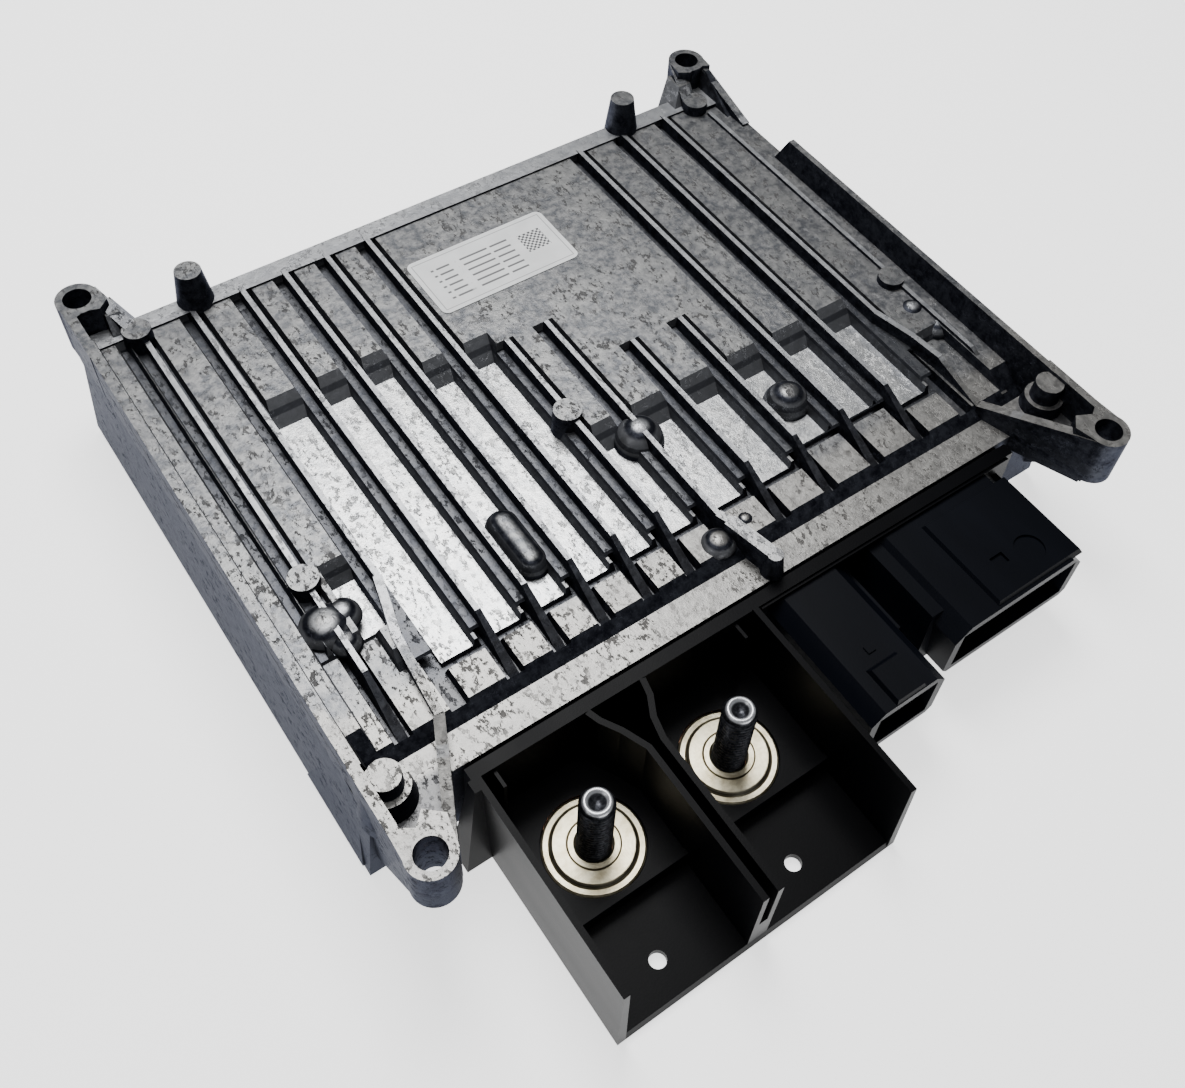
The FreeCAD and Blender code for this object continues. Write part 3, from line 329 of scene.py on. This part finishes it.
dull("seal_rubber", (0.010, 0.010, 0.011), (0.028, 0.028, 0.030), 0.70, 2.4, 0.05,
     ["cover_seal", "header_seal"])
dull("package_epoxy", (0.016, 0.016, 0.017), (0.035, 0.035, 0.038), 0.58, 0.9, 0.03,
     ["power_transistors", "control_chip"])
dull("thermal_silicone", (0.22, 0.30, 0.42), (0.34, 0.42, 0.54), 0.78, 1.4, 0.04, ["thermal_pads"])
dull("core_ferrite", (0.030, 0.030, 0.033), (0.075, 0.075, 0.080), 0.50, 1.8, 0.05, ["inductor_cores"])
dull("vent_nylon", (0.10, 0.105, 0.115), (0.19, 0.195, 0.205), 0.50, 3.0, 0.03, ["vent_plug"])

# %% [markdown]
# ## Brushed and plated metal
# Sheet, screws and copper share one recipe: long fine scratches along one direction, with
# darker clouds of handling on top. Only the colours and the direction of the scratches change.

# %% Worked metal
def worked_metal(name, dark, light, rough, stretch, targets):
    f = Finish(name)
    scratches = f.noise(0.5, 4.0, 0.7, stretch)
    clouds = f.noise(11.0, 3.0, 0.55)
    tone = f.between(scratches, 0.3, 0.7) * 0.6 + f.between(clouds, 0.35, 0.65) * 0.4
    f.set("Base Color", f.blend(tone, dark, light))
    f.set("Metallic", 0.92)
    f.set("Roughness", rough + 0.18 * (scratches - 0.5) + 0.10 * clouds)
    f.relief(scratches, 0.02, 0.6)
    f.cover(*targets)


worked_metal("cover_sheet", (0.42, 0.43, 0.45), (0.66, 0.67, 0.69), 0.34, (0.04, 1, 1), ["bottom_cover"])
worked_metal("zinc_plate", (0.36, 0.37, 0.40), (0.68, 0.69, 0.72), 0.30, (1, 1, 0.2),
             ["cover_screws", "board_screws", "header_screws"])
worked_metal("bar_copper", (0.52, 0.24, 0.13), (0.86, 0.50, 0.32), 0.28, (1, 0.05, 1),
             ["positive_busbar", "ground_busbar", "current_shunt"])
worked_metal("can_aluminium", (0.50, 0.51, 0.53), (0.80, 0.81, 0.82), 0.30, (1, 1, 0.1),
             ["filter_capacitors"])
worked_metal("tin_plate", (0.50, 0.49, 0.45), (0.84, 0.82, 0.76), 0.26, (1, 0.06, 1),
             ["signal_pins", "power_blades"])

# %% [markdown]
# ## Turned contact washers
# A lathe leaves rings that share the washer's centre. They could be modelled, but a wave that
# grows with the distance from the stud's axis gives them their width and their shine.

# %% Contact washers
def upright_axis(node):
    """Where the upright axis of a round node meets the rest face."""
    low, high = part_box(node)
    return Vector(((low.x + high.x) / 2, (low.y + high.y) / 2, 0))


STUDS = {node: upright_axis(node) for node in ("positive_stud", "ground_stud")}


# Turning marks, as radians of wave per mm, and the radii in mm of the two grooves' shadows.
LATHE_RINGS = 22.0
INNER_GROOVE = (5.75, 6.15)
OUTER_GROOVE = (9.35, 9.75)


def contact_washers():
    f = Finish("contact_nickel")
    x, y = f.along("X"), f.along("Y")
    middle = (STUDS["positive_stud"].x + STUDS["ground_stud"].x) / 2
    left = 1 - f.between(x, middle - MM, middle + MM)
    from_x = x - (STUDS["ground_stud"].x + left * (STUDS["positive_stud"].x - STUDS["ground_stud"].x))
    from_y = y - STUDS["ground_stud"].y
    reach = (from_x * from_x + from_y * from_y) ** 0.5 / MM
    rings = f.node("ShaderNodeMath", {"operation": "SINE"}, reach * LATHE_RINGS) * 0.5 + 0.5
    tarnish = f.noise(3.0, 4.0, 0.65)
    tone = f.between(tarnish, 0.3, 0.7) * 0.7 + rings * 0.3
    colour = f.blend(tone, (0.46, 0.39, 0.24), (0.88, 0.82, 0.62))
    # Two dark rings are painted shadow of the washer's grooves.
    groove_shadow = f.band(reach, *INNER_GROOVE, 0.08) + f.band(reach, *OUTER_GROOVE, 0.1)
    f.set("Base Color", f.blend(groove_shadow * 0.7, colour, (0.12, 0.10, 0.07)))
    f.set("Metallic", 0.95)
    f.set("Roughness", 0.22 + 0.16 * tarnish + 0.08 * rings)
    f.relief(rings * 0.6 + tarnish * 0.3, 0.03, 0.7)
    f.cover("contact_washers")


contact_washers()

# %% [markdown]
# ## Threaded studs
# The terminals are M8 studs, plated almost black, with a bright cupped end. The CAD rod is
# plain. A texture could fake the thread, but its saw-tooth edge shows against the washer, so
# the rod is rebuilt as a grid whose radius follows one helix, and it stands for the CAD rod.

# %% Threads as a grid of radii
THREAD_R, THREAD_PITCH, THREAD_DEPTH = 4.0, 1.25, 0.62
FOOT_R = 3.2
ROUND, ROWS_PER_TURN = 40, 10
# The stud's end: how far below its top each ring lies, and its radius, down into the cup.
STUD_END = ((1.0, 3.5), (0.35, 3.25), (0, 2.95), (0, 2.45), (0.5, 2.1), (1.4, 1.1), (1.6, 0.15))


def thread_radius(turn, height):
    """The helix's radius at a share of a turn and a height, both counted in pitches."""
    across = (height / THREAD_PITCH - turn) % 1.0
    ridge = 1 - abs(2 * across - 1)
    return THREAD_R - THREAD_DEPTH + THREAD_DEPTH * min(1.0, max(0.0, 1.25 * ridge - 0.1))


def stud(node):
    low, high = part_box(node)
    bottom, top = low.z / MM, high.z / MM
    axis = STUDS[node]
    step = THREAD_PITCH / ROWS_PER_TURN
    heights = [bottom + step * row for row in range(int((top - 1.2 - bottom) / step))]
    mesh = bmesh.new()
    rows = []

    def ring(height, radius_at):
        row = []
        for number in range(ROUND):
            turn = number / ROUND
            radius = radius_at(turn) * MM
            angle = 2 * math.pi * turn
            spot = Vector((math.cos(angle) * radius, math.sin(angle) * radius, height * MM))
            row.append(mesh.verts.new(axis + spot))
        rows.append(row)

    ring(bottom, lambda turn: FOOT_R)
    for height in heights:
        ring(height + 0.01, lambda turn, h=height: thread_radius(turn, h))
    for below, radius in STUD_END:
        ring(top - below, lambda turn, r=radius: r)
    for lower, upper in zip(rows, rows[1:]):
        for number in range(ROUND):
            after = (number + 1) % ROUND
            mesh.faces.new((lower[number], lower[after], upper[after], upper[number]))
    mesh.faces.new(rows[0][::-1])
    mesh.faces.new(rows[-1])
    data = bpy.data.meshes.new(node + "_thread")
    mesh.to_mesh(data)
    mesh.free()
    data.shade_smooth()
    piece = bpy.data.objects.new(node + "_thread", data)
    bpy.context.scene.collection.objects.link(piece)
    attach(piece, "root")
    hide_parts(node)
    print(piece.name, "rows", len(rows))
    return piece


stud_pieces = [stud(node) for node in STUDS]

# %% Dark plated steel with a bright tip
def stud_steel():
    f = Finish("stud_steel")
    height = f.along("Z") / MM
    wear = f.noise(0.8, 4.0, 0.7)
    tip = f.between(height, 29.15, 29.55)
    rim = f.band(height, 29.5, 30.2, 0.2)
    dark = f.blend(f.between(wear, 0.4, 0.7), (0.020, 0.021, 0.026), (0.085, 0.088, 0.10))
    f.set("Base Color", f.blend(tip * (0.4 + 0.6 * rim), dark, (0.70, 0.71, 0.73)))
    f.set("Metallic", 0.85)
    f.set("Roughness", 0.36 + 0.2 * (wear - 0.5))
    f.relief(wear, 0.03, 0.6)
    f.cover(*[piece.name for piece in stud_pieces])


stud_steel()

# %% [markdown]
# ## The board and the windings
# The board is hidden under the fins, but it is seen when the cover comes off: green mask with
# paler copper tracks under it. The windings are enamelled wire, so a saw wave cuts the solid
# ring into turns.

# %% Circuit board and copper windings
def board_mask():
    f = Finish("board_mask")
    grid = f.node("ShaderNodeTexVoronoi", {"distance": "MANHATTAN", "feature": "F1"}, f.place(), Scale=160.0)
    tracks = f.band(grid, 0.32, 0.40, 0.03)
    cloud = f.noise(20.0)
    base = f.blend(f.between(cloud, 0.3, 0.7), (0.008, 0.060, 0.026), (0.014, 0.090, 0.040))
    f.set("Base Color", f.blend(tracks * 0.8, base, (0.045, 0.20, 0.08)))
    f.set("Roughness", 0.30 + 0.1 * cloud)
    f.relief(tracks, 0.035, 0.7)
    f.cover("circuit_board")


def winding_enamel():
    f = Finish("winding_enamel")
    turns = f.node("ShaderNodeMath", {"operation": "PINGPONG"}, f.along("Z") / MM, 0.5) * 2
    tint = f.noise(4.0)
    f.set("Base Color", f.blend(f.between(turns, 0.05, 0.6), (0.10, 0.03, 0.008), (0.60, 0.24, 0.08)))
    f.set("Metallic", 0.7)
    f.set("Roughness", 0.26 + 0.14 * tint)
    f.relief(turns, 0.25, 1.0)
    f.cover("inductor_windings")


board_mask()
winding_enamel()

# %% [markdown]
# ## The data label
# A satin film label with its printing left generic: a thin frame, a checked square and a few
# dark bars, with no words and no mark. Bars are made from the position on the label, so
# nothing has to be unwrapped.

# %% Label film
def label_film():
    f = Finish("label_film")
    low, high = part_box("data_label")
    across = (f.along("X") - low.x) / MM
    down = (high.y - f.along("Y")) / MM
    wide, tall = (high.x - low.x) / MM, (high.y - low.y) / MM
    inner = f.band(across, 1.2, wide - 1.2, 0.05) * f.band(down, 1.2, tall - 1.2, 0.05)
    frame_line = inner * (1 - f.band(across, 1.5, wide - 1.5, 0.05) * f.band(down, 1.5, tall - 1.5, 0.05))
    line = f.node("ShaderNodeMath", {"operation": "FRACT"}, down / 2.3)
    words = f.between(f.noise(3.2, 1.0, 0.5, (1, 0.02, 1)), 0.44, 0.47)
    column = f.band(across, 4, wide - 14, 0.2) * f.band(down, 5, tall - 3, 0.2)
    bars = f.band(line, 0.30, 0.52, 0.06) * words * column
    square = f.band(across, wide - 11, wide - 4, 0.1) * f.band(down, 6, 13, 0.1)
    weave = f.node("ShaderNodeTexChecker", {}, f.place(), Scale=1400.0, output=1)
    film = f.noise(6.0)
    paper = f.blend(f.between(film, 0.3, 0.7), (0.80, 0.81, 0.81), (0.90, 0.91, 0.91))
    ink = f.blend(bars * 0.9 + frame_line * 0.5, paper, (0.05, 0.05, 0.055))
    f.set("Base Color", f.blend(square * weave * 0.95, ink, (0.03, 0.03, 0.035)))
    f.set("Roughness", 0.42 + 0.12 * film)
    f.relief(film, 0.02, 0.5)
    f.cover("data_label")


label_film()

# %% [markdown]
# ## The floor and the light
# A plain pale floor and three soft boxes. The strongest is behind and to the right, where the
# flat tops of the fins mirror it to the eye; a weak one lifts the left side, and a wide one
# overhead fills the rest.

# %% Floor
def floor():
    mesh = bmesh.new()
    bmesh.ops.create_grid(mesh, x_segments=1, y_segments=1, size=6.0)
    data = bpy.data.meshes.new("floor")
    mesh.to_mesh(data)
    mesh.free()
    piece = bpy.data.objects.new("floor", data)
    piece.location.z = -0.0004
    bpy.context.scene.collection.objects.link(piece)
    f = Finish("floor_paper")
    soft = f.noise(60.0)
    f.set("Base Color", f.blend(soft, (0.90, 0.90, 0.90), (0.92, 0.92, 0.92)))
    f.set("Roughness", 0.9)
    f.set("Emission Color", (1.0, 1.0, 1.0, 1))
    f.set("Emission Strength", 1.6)
    piece.data.materials.append(f.material)


floor()

# %% Soft boxes
def soft_box(name, place_mm, size_mm, watts):
    light = bpy.data.lights.new(name, "AREA")
    light.shape = "RECTANGLE"
    light.size, light.size_y = (side * MM for side in size_mm)
    light.energy = watts
    piece = bpy.data.objects.new(name, light)
    piece.location = Vector(place_mm) * MM
    piece.rotation_euler = (-piece.location).to_track_quat("-Z", "Y").to_euler()
    bpy.context.scene.collection.objects.link(piece)
    print(name, watts, "W")


soft_box("back_box", (70, 250, 640), (330, 330), 4.6)
soft_box("top_box", (-160, -40, 900), (460, 460), 2.0)
soft_box("left_box", (-760, -60, 380), (200, 400), 0.5)

world = bpy.data.worlds.new("studio")
world.use_nodes = True
sky = next(n for n in world.node_tree.nodes if n.type == "BACKGROUND")
sky.inputs["Color"].default_value = (0.92, 0.95, 1.0, 1)
sky.inputs["Strength"].default_value = 0.16
bpy.context.scene.world = world
